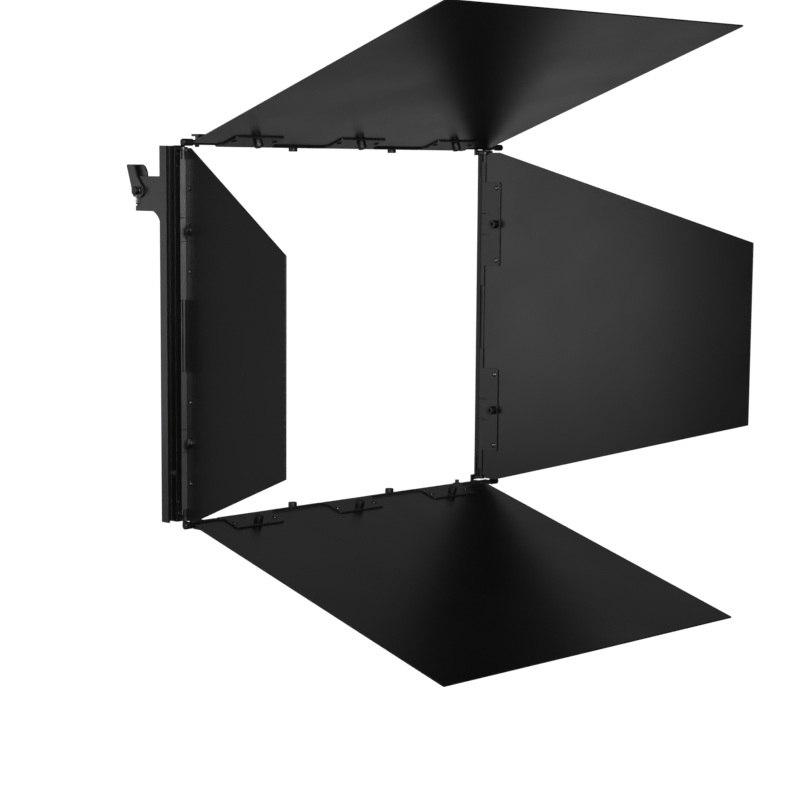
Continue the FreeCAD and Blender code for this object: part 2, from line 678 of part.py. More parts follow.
def latch_pivot(head_x, clinch_x):
    """A slotted pivot with its far end spread."""
    head = on_pivot(PIVOT_HEAD_R, head_x - PIVOT_HEAD_H, head_x)
    rim = [e for e in head.Edges if e.isClosed() and e.BoundBox.Center.x < head_x - PIVOT_HEAD_H / 2]
    head = head.makeChamfer(PIVOT_CHAMFER, rim)
    face_x = head_x - PIVOT_HEAD_H
    slot = block(
        (face_x - BITE, PIVOT_Y - 2 * PIVOT_HEAD_R, PIVOT_Z - PIVOT_SLOT / 2),
        (face_x + PIVOT_SLOT_DEPTH, PIVOT_Y + 2 * PIVOT_HEAD_R, PIVOT_Z + PIVOT_SLOT / 2),
    )
    shank = on_pivot(PIVOT_R, head_x - BITE, clinch_x + CLINCH_T)
    clinch = on_pivot(CLINCH_R, clinch_x, clinch_x + CLINCH_T)
    return head.fuse(shank).fuse(clinch).cut(slot).removeSplitter()


def latch_spring(coil_x):
    """The return spring: a turn of wire round the pivot, and a leg hooked over the ear's notch."""

    def on_coil(angle):
        turn = math.radians(angle)
        return Vector(coil_x, PIVOT_Y + SPRING_R * math.cos(turn), PIVOT_Z + SPRING_R * math.sin(turn))

    start = on_coil(SPRING_TURN)
    leg_top = on_coil(0)
    leg_end = Vector(coil_x, leg_top.y, SPRING_LEG_END + SPRING_BEND_R)
    bend_middle = leg_end + Vector(SPRING_BEND_R, 0, 0) - Vector(1, 0, 1) * (SPRING_BEND_R / math.sqrt(2))
    hook_start = Vector(coil_x + SPRING_BEND_R, leg_top.y, SPRING_LEG_END)
    hook_end = Vector(SPRING_HOOK_X, leg_top.y, SPRING_LEG_END)
    path = [
        Part.Arc(start, on_coil(SPRING_TURN / 2), leg_top).toShape(),
        Part.LineSegment(leg_top, leg_end).toShape(),
        Part.Arc(leg_end, bend_middle, hook_start).toShape(),
        Part.LineSegment(hook_start, hook_end).toShape(),
    ]
    tangent = Vector(0, math.sin(math.radians(SPRING_TURN)), -math.cos(math.radians(SPRING_TURN)))
    section = Part.Wire(Part.makeCircle(SPRING_WIRE_R, start, tangent))
    return Part.Wire(path).makePipeShell([section], True, False)


def latch():
    outer_x = -RAIL_OUTER - LEVER_GAP - LEVER_T
    inner_x = -RAIL_OUTER + RAIL_WALL + LEVER_GAP
    save("latch_lever", latch_lever(outer_x, inner_x))
    save("latch_catch", latch_catch(outer_x, inner_x))
    save("latch_pivot", latch_pivot(outer_x - SPRING_GAP, inner_x + LEVER_T + SCREW_PLAY))
    save("latch_spring", latch_spring(outer_x - SPRING_GAP / 2))


def main():
    os.makedirs("parts", exist_ok=True)
    rails()
    bars()
    corner_pieces()
    long_rods()
    side_rods()
    latch()
    save_leaf("top", long_leaf(), 0, (1, 0, 0), -OPEN_TOP, (0, LONG_ROD_Y, HINGE_Z))
    save_leaf("bottom", long_leaf(), HALF_TURN, (1, 0, 0), OPEN_BOTTOM, (0, LONG_ROD_Y, -HINGE_Z))
    save_leaf("left", side_leaf(), -QUARTER_TURN, (0, 0, 1), -OPEN_LEFT, (-HINGE_X, SIDE_ROD_Y, 0))
    save_leaf("right", side_leaf(), QUARTER_TURN, (0, 0, 1), OPEN_RIGHT, (HINGE_X, SIDE_ROD_Y, 0))


main()
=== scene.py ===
import json
import math

import bmesh
import bpy
from mathutils import Matrix, Vector


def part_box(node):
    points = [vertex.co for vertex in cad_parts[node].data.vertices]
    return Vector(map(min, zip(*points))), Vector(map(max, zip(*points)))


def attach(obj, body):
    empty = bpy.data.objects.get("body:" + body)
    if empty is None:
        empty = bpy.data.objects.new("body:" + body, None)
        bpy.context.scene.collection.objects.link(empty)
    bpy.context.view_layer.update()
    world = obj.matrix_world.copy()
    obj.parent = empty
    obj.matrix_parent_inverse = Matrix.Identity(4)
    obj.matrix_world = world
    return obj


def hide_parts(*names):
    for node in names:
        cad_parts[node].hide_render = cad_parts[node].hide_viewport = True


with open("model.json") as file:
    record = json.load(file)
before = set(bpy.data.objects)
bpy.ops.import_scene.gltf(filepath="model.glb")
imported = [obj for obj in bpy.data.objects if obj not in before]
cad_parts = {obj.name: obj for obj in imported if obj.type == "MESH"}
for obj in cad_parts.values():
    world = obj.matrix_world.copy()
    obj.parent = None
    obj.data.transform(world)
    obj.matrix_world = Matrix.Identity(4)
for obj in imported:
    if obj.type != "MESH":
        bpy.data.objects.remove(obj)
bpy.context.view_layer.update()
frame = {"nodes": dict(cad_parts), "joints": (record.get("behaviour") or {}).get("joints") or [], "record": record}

# Barn door attachment: the CAD model gives the rails, bars, plates, leaves, straps and latch. This
# script gives them their finishes, and makes the fasteners, rods and spring in full detail.
# Everything is in metres, and named angles are in degrees.

MM = 0.001
SIDES = ("top", "bottom", "left", "right")
LONG_SIDES = ("top", "bottom")

JOINTS = {joint["child"]: joint for joint in frame["joints"]}


# Reading the CAD model

WELD = 1e-6


def welded(node):
    """A CAD node's mesh with its split corners joined, for reading only."""
    mesh = bmesh.new()
    mesh.from_mesh(frame["nodes"][node].data)
    bmesh.ops.remove_doubles(mesh, verts=mesh.verts, dist=WELD)
    return mesh


def solids_of(node):
    """The points of each separate solid of a CAD node, ordered from left to right and low to high."""
    mesh = welded(node)
    left = set(mesh.verts)
    solids = []
    while left:
        found = {left.pop()}
        waiting = list(found)
        while waiting:
            vert = waiting.pop()
            for link in vert.link_edges:
                other = link.other_vert(vert)
                if other in left:
                    left.remove(other)
                    found.add(other)
                    waiting.append(other)
        solids.append([vert.co.copy() for vert in found])
    mesh.free()
    return sorted(solids, key=lambda points: tuple(round(v, 4) for v in middle_of(points)))


def box_of(points):
    low = Vector(map(min, zip(*points)))
    high = Vector(map(max, zip(*points)))
    return low, high


def middle_of(points):
    low, high = box_of(points)
    return (low + high) / 2


def to_leaf(side):
    """
    The matrix that takes a leaf's own axes to the part's axes. The leaf's X runs along its rod, its Z
    from the free edge to the rod, and its Y to the lamp side.
    """
    joint = JOINTS["leaf_" + side]
    pivot = Vector(joint["pos_m"])
    along = Vector(joint["axis"]).normalized()
    mesh = welded("leaf_sheet_" + side)
    face = max(mesh.faces, key=lambda f: f.calc_area())
    normal = face.normal.normalized()
    centre = sum((vert.co for vert in mesh.verts), Vector()) / len(mesh.verts)
    if (face.calc_center_median() - pivot).dot(normal) < 0:
        normal.negate()
    mesh.free()
    inward = along.cross(normal)
    if (centre - pivot).dot(inward) > 0:
        inward.negate()
    across = normal.cross(inward)
    axes = Matrix((across, normal, inward)).transposed().to_4x4()
    return Matrix.Translation(pivot) @ axes


# Mesh helpers

SHARP_EDGE = 35.0


def ring(radius, height, count):
    """A ring of points round Z. The radius is a number, or a function of the angle."""
    points = []
    for i in range(count):
        angle = 2 * math.pi * i / count
        r = radius(angle) if callable(radius) else radius
        points.append(Vector((r * math.cos(angle), r * math.sin(angle), height)))
    return points


def loft(mesh, rings, place):
    """Adds a closed skin over rings of equal count, capped at both ends."""
    rows = [[mesh.verts.new(place @ point) for point in points] for points in rings]
    count = len(rows[0])
    for lower, upper in zip(rows, rows[1:]):
        for i in range(count):
            j = (i + 1) % count
            mesh.faces.new((lower[i], lower[j], upper[j], upper[i]))
    mesh.faces.new(list(reversed(rows[0])))
    mesh.faces.new(rows[-1])


def arc_steps(start, end, steps):
    """Angles in radians from start to end, in degrees, both ends included."""
    return [math.radians(start + (end - start) * i / steps) for i in range(steps + 1)]


def hexagon(across):
    """The radius of a hexagon at an angle, from its size across flats."""
    sixth = math.pi / 3

    def radius(angle):
        return across / 2 / math.cos((angle + sixth / 2) % sixth - sixth / 2)

    return radius


def knurl(radius, depth, ridges):
    """The radius of a knurled round at an angle."""

    def at(angle):
        phase = (angle * ridges / (2 * math.pi)) % 1.0
        return radius - depth * abs(2 * phase - 1)

    return at


def finish_piece(mesh, name, material, body, replaced, sharp=SHARP_EDGE):
    """Makes an object of the mesh, gives it its finish and lets it ride on its body."""
    bmesh.ops.recalc_face_normals(mesh, faces=mesh.faces)
    data = bpy.data.meshes.new(name)
    mesh.to_mesh(data)
    mesh.free()
    for polygon in data.polygons:
        polygon.use_smooth = True
    data.set_sharp_from_angle(angle=math.radians(sharp))
    data.materials.append(MATERIALS[material])
    piece = bpy.data.objects.new(name, data)
    bpy.context.scene.collection.objects.link(piece)
    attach(piece, body)
    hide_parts(*replaced)


# Materials

CLOUD_SCALE = 9.0            # noise scales, in cells per metre
BLOTCH_SCALE = 70.0
WEAR_SCALE = 160.0
WAVE_SCALE = 3.5
COAT_EDGE = 0.45 * MM        # how far an edge's rounding and wear reach
METAL_EDGE = 0.3 * MM
COAT_WEAR = 0.25             # how strongly a corner shows its wear
METAL_WEAR = 0.35
WORN_METAL = (0.26, 0.26, 0.265)
CLOUD_ROUGHNESS = 0.035      # how far the roughness goes either way
GRAIN_ROUGHNESS = 0.03
LINE_ROUGHNESS = 0.07
LINE_STRETCH = 0.02
LINE_DEPTH = 0.02 * MM


def shade(colour, factor, lift=0.0):
    """A colour made darker or lighter, and never above white."""
    return tuple(min(1.0, factor * c + lift) for c in colour)


class Surface:
    """One procedural finish: a Principled shader with its colour, roughness and bump nodes."""

    def __init__(self, name):
        self.material = bpy.data.materials.new(name)
        self.material.use_nodes = True
        self.tree = self.material.node_tree
        self.shader = self.tree.nodes["Principled BSDF"]
        self.place = self.add("ShaderNodeTexCoord").outputs["Object"]

    def add(self, kind, **settings):
        node = self.tree.nodes.new(kind)
        for key, value in settings.items():
            setattr(node, key, value)
        return node

    def link(self, source, target):
        self.tree.links.new(source, target)

    def feed(self, name, source):
        """Links a value to one of the shader's inputs."""
        self.link(source, self.shader.inputs[name])

    def scaled(self, scale):
        """Object coordinates stretched by a factor on each axis."""
        mapping = self.add("ShaderNodeMapping")
        mapping.inputs["Scale"].default_value = scale
        self.link(self.place, mapping.inputs["Vector"])
        return mapping.outputs["Vector"]

    def noise(self, scale, detail=2.0, roughness=0.5, vector=None):
        node = self.add("ShaderNodeTexNoise")
        node.inputs["Scale"].default_value = scale
        node.inputs["Detail"].default_value = detail
        node.inputs["Roughness"].default_value = roughness
        self.link(vector or self.place, node.inputs["Vector"])
        return node.outputs["Fac"]

    def ramp(self, value, low, high, out_low=0.0, out_high=1.0):
        """Maps a value from one range to another, clamped."""
        node = self.add("ShaderNodeMapRange")
        node.inputs["From Min"].default_value = low
        node.inputs["From Max"].default_value = high
        node.inputs["To Min"].default_value = out_low
        node.inputs["To Max"].default_value = out_high
        self.link(value, node.inputs["Value"])
        return node.outputs["Result"]

    def math(self, operation, a, b):
        node = self.add("ShaderNodeMath", operation=operation)
        for i, value in enumerate((a, b)):
            if isinstance(value, (int, float)):
                node.inputs[i].default_value = value
            else:
                self.link(value, node.inputs[i])
        return node.outputs["Value"]

    def mix(self, factor, a, b):
        """Mixes two colours, each a tuple or a socket."""
        node = self.add("ShaderNodeMix", data_type="RGBA")
        self.link(factor, node.inputs["Factor"])
        for key, value in (("A", a), ("B", b)):
            target = [s for s in node.inputs if s.name == key and s.type == "RGBA"][0]
            if isinstance(value, tuple):
                target.default_value = (*value, 1.0)
            else:
                self.link(value, target)
        return [s for s in node.outputs if s.type == "RGBA"][0]

    def edges(self, radius):
        """The normal with rounded corners, and a mask: near 1 along corners, 0 on open surface."""
        bevel = self.add("ShaderNodeBevel", samples=4)
        bevel.inputs["Radius"].default_value = radius
        geometry = self.add("ShaderNodeNewGeometry")
        dot = self.add("ShaderNodeVectorMath", operation="DOT_PRODUCT")
        self.link(bevel.outputs["Normal"], dot.inputs[0])
        self.link(geometry.outputs["Normal"], dot.inputs[1])
        return bevel.outputs["Normal"], self.ramp(dot.outputs["Value"], 0.985, 0.80)

    def bump(self, height, strength, distance, under=None):
        node = self.add("ShaderNodeBump")
        node.inputs["Strength"].default_value = strength
        node.inputs["Distance"].default_value = distance
        self.link(height, node.inputs["Height"])
        if under is not None:
            self.link(under, node.inputs["Normal"])
        return node.outputs["Normal"]


def coated(name, colour, roughness, grain_size, grain_depth, wave_depth=0.0):
    """A powder-coated or painted metal: fine grain, cloudy tone, flecks and thin wear along edges."""
    s = Surface(name)
    clouds = s.noise(CLOUD_SCALE, 4.0, 0.55)
    grain = s.noise(1.0 / grain_size, 3.0, 0.6)
    speckle = s.noise(0.45 / grain_size, 1.0)
    tone = s.mix(s.ramp(clouds, 0.35, 0.68), shade(colour, 0.80), shade(colour, 1.22))
    flecks = s.ramp(speckle, 0.66, 0.78, 0.0, 0.35)
    tone = s.mix(flecks, tone, shade(colour, 2.1))
    worn_patches = s.ramp(s.noise(WEAR_SCALE, 3.0), 0.46, 0.62)
    rounded, corners = s.edges(COAT_EDGE)
    rubbed = s.math("MULTIPLY", corners, s.math("MULTIPLY", worn_patches, COAT_WEAR))
    s.feed("Base Color", s.mix(rubbed, tone, WORN_METAL))
    cloudy = s.ramp(clouds, 0.3, 0.7, roughness - CLOUD_ROUGHNESS, roughness + CLOUD_ROUGHNESS)
    grainy = s.ramp(grain, 0.3, 0.7, -GRAIN_ROUGHNESS, GRAIN_ROUGHNESS)
    s.feed("Roughness", s.math("ADD", cloudy, grainy))
    normal = s.bump(grain, 0.55, grain_depth, rounded)
    if wave_depth:
        normal = s.bump(s.noise(WAVE_SCALE, 1.0), 0.35, wave_depth, normal)
    s.feed("Normal", normal)
    return s.material


def metal(name, colour, roughness, lines, line_axis, metallic=1.0):
    """A bare or oxide-black metal with fine drawn lines along one axis."""
    s = Surface(name)
    stretch = [lines, lines, lines]
    stretch[line_axis] = lines * LINE_STRETCH
    drawn = s.noise(1.0, 4.0, 0.65, s.scaled(stretch))
    blotch = s.noise(BLOTCH_SCALE, 3.0)
    tone = s.mix(s.ramp(blotch, 0.35, 0.65), shade(colour, 0.72), shade(colour, 1.25))
    _, corners = s.edges(METAL_EDGE)
    tone = s.mix(s.math("MULTIPLY", corners, METAL_WEAR), tone, shade(colour, 2.2, 0.05))
    s.feed("Base Color", tone)
    s.feed("Roughness", s.ramp(drawn, 0.25, 0.75, roughness - LINE_ROUGHNESS, roughness + LINE_ROUGHNESS))
    s.feed("Normal", s.bump(drawn, 0.25, LINE_DEPTH))
    s.shader.inputs["Metallic"].default_value = metallic
    return s.material


# Coatings: colour, roughness, grain size, grain depth and, on the large sheets, wave depth
COATINGS = {
    "leaf_coating": ((0.0025, 0.0025, 0.0026), 0.34, 0.9 * MM, 0.03 * MM, 0.3 * MM),
    "strap_coating": ((0.012, 0.012, 0.0122), 0.42, 0.7 * MM, 0.02 * MM),
    "rail_coating": ((0.0018, 0.0018, 0.0019), 0.40, 0.5 * MM, 0.012 * MM),
    "bracket_coating": ((0.006, 0.006, 0.0062), 0.36, 0.6 * MM, 0.015 * MM),
    "lever_coating": ((0.016, 0.016, 0.0165), 0.42, 0.6 * MM, 0.015 * MM),
    "catch_steel": ((0.006, 0.006, 0.0062), 0.38, 0.5 * MM, 0.010 * MM),
}

# Metals: colour, roughness, lines per metre, the axis that the lines follow, and how metallic
METALS = {
    "rod_steel": ((0.012, 0.012, 0.0125), 0.48, 2400.0, 0, 0.3),
    "black_screw": ((0.045, 0.045, 0.047), 0.46, 1800.0, 1),
    "rivet_metal": ((0.13, 0.13, 0.135), 0.30, 1500.0, 2),
    "spring_wire": ((0.16, 0.16, 0.165), 0.34, 2500.0, 2),
}

MATERIALS = {name: coated(name, *values) for name, values in COATINGS.items()}
MATERIALS |= {name: metal(name, *values) for name, values in METALS.items()}


def dress_frame_nodes():
    """Gives every CAD node the finish of its slot in the record."""
    for part in frame["record"]["subparts"]:
        node = frame["nodes"][part["node"]]
        material = MATERIALS[part["material_slot"]]
        for slot in node.material_slots:
            slot.material = material


# Fasteners

SCREW_RING = 120             # points round a socket screw, a nut or a washer
SMALL_RING = 48              # points round a rivet or a corner screw
HEAD_BEVEL = 0.09            # share of a head's radius
HEAD_GROOVE = 0.022          # share of a head's radius
SOCKET_MOUTH = 1.06          # share of a socket's size from its middle to its corners
SOCKET_LEAD = 0.25 * MM
SOCKET_FLOOR_RISE = 0.25 * MM


def socket_screw_rings(head_r, head_h, shank_r, tail, across, depth, ridges):
    """A knurled socket screw along +Z: the head's underside is at 0, and the tail goes down from there."""
    count = SCREW_RING
    bevel = HEAD_BEVEL * head_r
    groove = HEAD_GROOVE * head_r
    grip = knurl(head_r, groove * 1.6, ridges)
    plain = head_r - groove
    rings = [
        ring(shank_r * 0.82, -tail, count),
        ring(shank_r, -tail + 0.18 * shank_r, count),
        ring(shank_r, 0, count),
        ring(plain - bevel * 0.6, 0, count),
        ring(plain, bevel * 0.6, count),
        ring(grip, bevel * 0.9, count),
        ring(grip, head_h - 1.9 * bevel, count),
        ring(plain, head_h - 1.6 * bevel, count),
    ]
    for angle in arc_steps(0, 90, 5):
        radius = plain - bevel * (1 - math.cos(angle))
        rings.append(ring(radius, head_h - bevel * (1 - math.sin(angle)), count))
    hexed = hexagon(across)
    mouth = across / math.sqrt(3) * SOCKET_MOUTH
    rings += [
        ring(mouth, head_h, count),
        ring(lambda angle: min(mouth, hexed(angle)), head_h - SOCKET_LEAD, count),
        ring(hexed, head_h - depth, count),
        ring(0.35 * across, head_h - depth - SOCKET_FLOOR_RISE, count),
    ]
    return rings


CHAMFER_SLOPE = 30.0
CHAMFER_STEPS = 5
NUT_FACE = 0.485             # a nut's face radius, as a share of its size across flats


def nut_rings(across, height):
    """A hexagon nut along +Z from 0, with both faces chamfered."""
    hexed = hexagon(across)
    face_r = NUT_FACE * across
    reach = across / math.sqrt(3) - face_r
    rise = reach * math.tan(math.radians(CHAMFER_SLOPE))
    lower, upper = [], []
    for i in range(CHAMFER_STEPS + 1):
        limit = face_r + reach * i / CHAMFER_STEPS
        lift = rise * i / CHAMFER_STEPS
        lower.append(ring(lambda angle: min(hexed(angle), limit), lift, SCREW_RING))
        upper.append(ring(lambda angle: min(hexed(angle), limit), height - lift, SCREW_RING))
    return lower + upper[::-1]


def washer_rings(radius, height):
    """A flat washer along +Z from 0, with rounded rims."""
    soft = 0.25 * height
    return [
        ring(radius - soft, 0, SCREW_RING),
        ring(radius, soft, SCREW_RING),
        ring(radius, height - soft, SCREW_RING),
        ring(radius - soft, height, SCREW_RING),
    ]


def rivet_rings(head_r, head_h, tail_r, tail_h, grip):
    """A domed rivet along +Z: the plates lie from 0 to grip, the dome is above and the rolled tail below."""
    count = SMALL_RING
    dimple = 0.45 * tail_r
    shank_r = 0.7 * tail_r
    roll_middle = (tail_r + dimple) / 2
    roll_r = tail_r - roll_middle
    rings = [
        ring(dimple * 0.2, -tail_h * 0.45, count),
        ring(dimple * 0.8, -tail_h * 0.6, count),
        ring(dimple, -tail_h, count),
    ]
    for angle in arc_steps(90, -60, 6):
        radius = roll_middle + roll_r * math.cos(angle)
        rings.append(ring(radius, -tail_h / 2 * (1 + math.sin(angle)), count))
    rings.append(ring(shank_r, 0, count))
    rings.append(ring(shank_r, grip, count))
    rings.append(ring(head_r * 0.94, grip, count))
    for angle in arc_steps(12, 84, 9):
        rings.append(ring(head_r * math.cos(angle) ** 0.8, grip + head_h * math.sin(angle), count))
    return rings


UP_THE_LEAF = Matrix.Rotation(math.radians(-90), 4, "X")    # turns +Z to the leaf's own +Y


def leaf_solids(side, node):
    """The middle, lowest Y, highest Y and half width of each solid of a leaf's node, in the leaf's axes."""
    back = to_leaf(side).inverted()
    found = []
    for points in solids_of(node + "_" + side):
        low, high = box_of([back @ point for point in points])
        found.append(((low + high) / 2, low.y, high.y, (high.x - low.x) / 2))
    return found


def plate_face(side):
    """The height of the strap's face above the rod's axis, in the leaf's own axes."""
    return max(high for middle, low, high, half in leaf_solids(side, "hinge_plates"))


def leaf_set(side, name, node, material, rings_of, sharp=SHARP_EDGE):
    """
    One detailed fastener for each solid of a leaf's CAD node, all in one object. rings_of takes a
    solid's lowest Y, highest Y and half width, and gives the height of its origin and its rings.
    """
    place = to_leaf(side)
    mesh = bmesh.new()
    for middle, low, high, half in leaf_solids(side, node):
        height, rings = rings_of(low, high, half)
        loft(mesh, rings, place @ Matrix.Translation((middle.x, height, middle.z)) @ UP_THE_LEAF)
    finish_piece(mesh, name + "_" + side, material, "leaf_" + side, [node + "_" + side], sharp)


TENSION_HEX = 3.0 * MM
TENSION_DEPTH = 3.0 * MM
TENSION_SHANK_R = 2.5 * MM
TENSION_RIDGES = 30


def tension_hardware(side):
    """The tension screws, nuts and washers of one leaf."""
    face = plate_face(side)

    def screw(low, high, half):
        rings = socket_screw_rings(
            half, high - face, TENSION_SHANK_R, face - low, TENSION_HEX, TENSION_DEPTH, TENSION_RIDGES
        )
        return face, rings

    def nut(low, high, half):
        across = 2 * half * math.cos(math.pi / 6)
        return low, nut_rings(across, high - low)

    def washer(low, high, half):
        return low, washer_rings(half, high - low)

    leaf_set(side, "tension_screw_set", "tension_screws", "black_screw", screw)
    leaf_set(side, "tension_nut_set", "tension_nuts", "black_screw", nut)
    leaf_set(side, "tension_washer_set", "tension_washers", "black_screw", washer)


SHEET_INSET = 1.1 * MM       # from the rod's axis to the outer face of a leaf's sheet
RIVET_TAIL_R = 2.0 * MM
RIVET_SHARP_EDGE = 50.0


def rivets(side):
    """The rivets that hold the straps to one leaf."""
    face = plate_face(side)
    grip = face - SHEET_INSET

    def rivet(low, high, half):
        return SHEET_INSET, rivet_rings(half, high - face, RIVET_TAIL_R, SHEET_INSET - low, grip)

    leaf_set(side, "rivet_set", "hinge_rivets", "rivet_metal", rivet, RIVET_SHARP_EDGE)


HOLDER_SHANK_R = 2.0 * MM
HOLDER_HEX = 3.0 * MM
TAB_SHANK_R = 1.5 * MM
TAB_HEX = 2.0 * MM
UPRIGHT_RIDGES = 28


def upright_screws(node, name, shank_r, across):
    """Socket screws with their heads towards the opening, at the top or bottom of the frame."""
    mesh = bmesh.new()
    for points in solids_of(node):
        low, high = box_of(points)
        centre = (low + high) / 2
        head_r = (high.x - low.x) / 2
        rim = [p.z for p in points if math.hypot(p.x - centre.x, p.y - centre.y) > head_r * 0.95]
        if centre.z > 0:
            head_end, seat, tail_end = low.z, max(rim), high.z
            turn = Matrix.Rotation(math.pi, 4, "X")
        else:
            head_end, seat, tail_end = high.z, min(rim), low.z
            turn = Matrix.Identity(4)
        head_h = abs(seat - head_end)
        tail = abs(tail_end - seat)
        rings = socket_screw_rings(head_r, head_h, shank_r, tail, across, head_h / 2, UPRIGHT_RIDGES)
        loft(mesh, rings, Matrix.Translation((centre.x, centre.y, seat)) @ turn)
    finish_piece(mesh, name, "black_screw", "frame", [node])


FLAT_SOCKET = 1.5 * MM
FLAT_SOCKET_LEAD = 0.12 * MM
FLAT_SOCKET_DEPTH = 0.75 * MM
FLAT_FLOOR_RISE = 0.15 * MM
FLAT_RIM = 0.06 * MM
FLAT_TAIL_CHAMFER = 0.15 * MM


def corner_screws():
    """The small countersunk screws of the corners, with hexagon sockets."""
    mesh = bmesh.new()
    count = SMALL_RING
    turn = Matrix.Rotation(math.radians(90), 4, "X")
    for points in solids_of("corner_screws"):
        low, high = box_of(points)
        centre = (low + high) / 2
        head_r = (high.x - low.x) / 2
        length = high.y - low.y
        shank_r = 0.52 * head_r
        rings = [
            ring(shank_r * 0.8, -length, count),
            ring(shank_r, -length + FLAT_TAIL_CHAMFER, count),
            ring(shank_r, -(head_r - shank_r), count),
            ring(head_r * 0.985, -FLAT_RIM, count),
            ring(head_r * 0.95, 0, count),
            ring(FLAT_SOCKET * 0.60, 0, count),
            ring(hexagon(FLAT_SOCKET), -FLAT_SOCKET_LEAD, count),
            ring(hexagon(FLAT_SOCKET * 0.96), -FLAT_SOCKET_DEPTH, count),
            ring(FLAT_SOCKET * 0.2, -FLAT_SOCKET_DEPTH - FLAT_FLOOR_RISE, count),
        ]
        loft(mesh, rings, Matrix.Translation((centre.x, low.y, centre.z)) @ turn)
    finish_piece(mesh, "corner_screw_set", "black_screw", "frame", ["corner_screws"])


# Rods and latch spring

ROD_RING = 64
ROD_SOFT_END = 0.4 * MM
ROD_END_STEPS = 4


def hinge_rod(side):
    """The turned rod of one side, with rounded ends."""
    node = "hinge_rod_" + side
    low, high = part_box(node)
    centre = (low + high) / 2
    radius = min(high - low) / 2
    axis = 0 if side in LONG_SIDES else 2
    start, end = centre.copy(), centre.copy()
    start[axis], end[axis] = low[axis], high[axis]
    along = end - start
    turn = Vector((0, 0, 1)).rotation_difference(along.normalized()).to_matrix().to_4x4()
    lower, upper = [], []
    for angle in arc_steps(0, 90, ROD_END_STEPS):
        r = radius - ROD_SOFT_END * (1 - math.sin(angle))
        rise = ROD_SOFT_END * (1 - math.cos(angle))
        lower.append(ring(r, rise, ROD_RING))
        upper.append(ring(r, along.length - rise, ROD_RING))
    mesh = bmesh.new()
    loft(mesh, lower + upper[::-1], Matrix.Translation(start) @ turn)
    finish_piece(mesh, "turned_rod_" + side, "rod_steel", "frame", [node])


WIRE_WELD = 1e-7
WIRE_SHARP_EDGE = 60.0


def wire(name, points, radius, material, body, replaced):
    """A round wire along a smooth line through the points."""
    curve = bpy.data.curves.new(name + "_line", "CURVE")
    curve.dimensions = "3D"
    curve.bevel_depth = radius
    curve.bevel_resolution = 5
    curve.use_fill_caps = True
    curve.resolution_u = 6
    spline = curve.splines.new("NURBS")
    spline.points.add(len(points) - 1)
    for target, point in zip(spline.points, points):
        target.co = (*point, 1.0)
    spline.order_u = 3
    spline.use_endpoint_u = True
    source = bpy.data.objects.new(name + "_source", curve)
    bpy.context.scene.collection.objects.link(source)
    bpy.context.view_layer.update()
    evaluated = source.evaluated_get(bpy.context.evaluated_depsgraph_get())
    mesh = bmesh.new()
    mesh.from_mesh(bpy.data.meshes.new_from_object(evaluated))
    bmesh.ops.remove_doubles(mesh, verts=mesh.verts, dist=WIRE_WELD)
    bpy.data.objects.remove(source)
    finish_piece(mesh, name, material, body, replaced, WIRE_SHARP_EDGE)


SPRING_WIRE_R = 0.45 * MM
SPRING_R = 2.9 * MM
SPRING_TURNS = 1.25
SPRING_PITCH = 2.1 * SPRING_WIRE_R
SPRING_LEAN = 0.9 * MM       # from the CAD coil's wire to the wound one's leg, towards the lever
STEPS_PER_TURN = 20


def latch_spring():
    """The return spring: wire wound round the pivot, with one leg hooked over the ear's notch."""
    low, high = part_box("latch_spring")
    pivot_low, pivot_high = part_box("latch_pivot")
    middle = (pivot_low + pivot_high) / 2
    leg_x = low.x + SPRING_WIRE_R + SPRING_LEAN
    bottom = low.z + SPRING_WIRE_R
    points = []
    total = int(SPRING_TURNS * STEPS_PER_TURN)
    for i in range(total + 1):
        angle = 2 * math.pi * (SPRING_TURNS - i / STEPS_PER_TURN)
        x = leg_x - SPRING_PITCH * SPRING_TURNS * (1 - i / total)
        y = middle.y + SPRING_R * math.cos(angle)
        points.append(Vector((x, y, middle.z + SPRING_R * math.sin(angle))))
    leg = points[-1]
    points += [
        Vector((leg.x, leg.y + 0.15 * MM, leg.z - 3.0 * MM)),
        Vector((leg.x, leg.y, (leg.z + bottom) / 2)),
        Vector((leg.x, leg.y - 0.1 * MM, bottom + 1.6 * MM)),
        Vector((leg.x + 0.2 * MM, leg.y, bottom + 0.1 * MM)),
        Vector((leg.x + 1.8 * MM, leg.y, bottom)),
        Vector((high.x, leg.y, bottom)),
    ]
    wire("wound_latch_spring", points, SPRING_WIRE_R, "spring_wire", "frame", ["latch_spring"])


# Camera, lights and background

CAMERA_AT = (-1.34165, -1.42547, 0.14361)
CAMERA_YAW = 44.54
CAMERA_DOWN = 7.33
CAMERA_ROLL = 0.37
CAMERA_LENS = 94.5           # lens and sensor width in millimetres, as Blender's camera takes them
CAMERA_SENSOR = 36.0
CAMERA_SHIFT = (0.025, 0.05)
CAMERA_REACH = 100.0


def camera():
    """The photograph's camera. It rolls a little, and its shift frames the part off centre."""
    yaw, down, roll = (math.radians(v) for v in (CAMERA_YAW, CAMERA_DOWN, CAMERA_ROLL))
    forward = Vector((math.sin(yaw) * math.cos(down), math.cos(yaw) * math.cos(down), -math.sin(down)))
    level = Vector((math.cos(yaw), -math.sin(yaw), 0))
    upright = level.cross(forward)
    right = level * math.cos(roll) + upright * math.sin(roll)
    up = upright * math.cos(roll) - level * math.sin(roll)
    data = bpy.data.cameras.new("camera")
    data.lens = CAMERA_LENS
    data.sensor_width = CAMERA_SENSOR
    data.shift_x, data.shift_y = CAMERA_SHIFT
    data.clip_end = CAMERA_REACH
    thing = bpy.data.objects.new("camera", data)
    axes = Matrix((right, up, -forward)).transposed().to_4x4()
    thing.matrix_world = Matrix.Translation(CAMERA_AT) @ axes
    bpy.context.scene.collection.objects.link(thing)
    bpy.context.scene.camera = thing


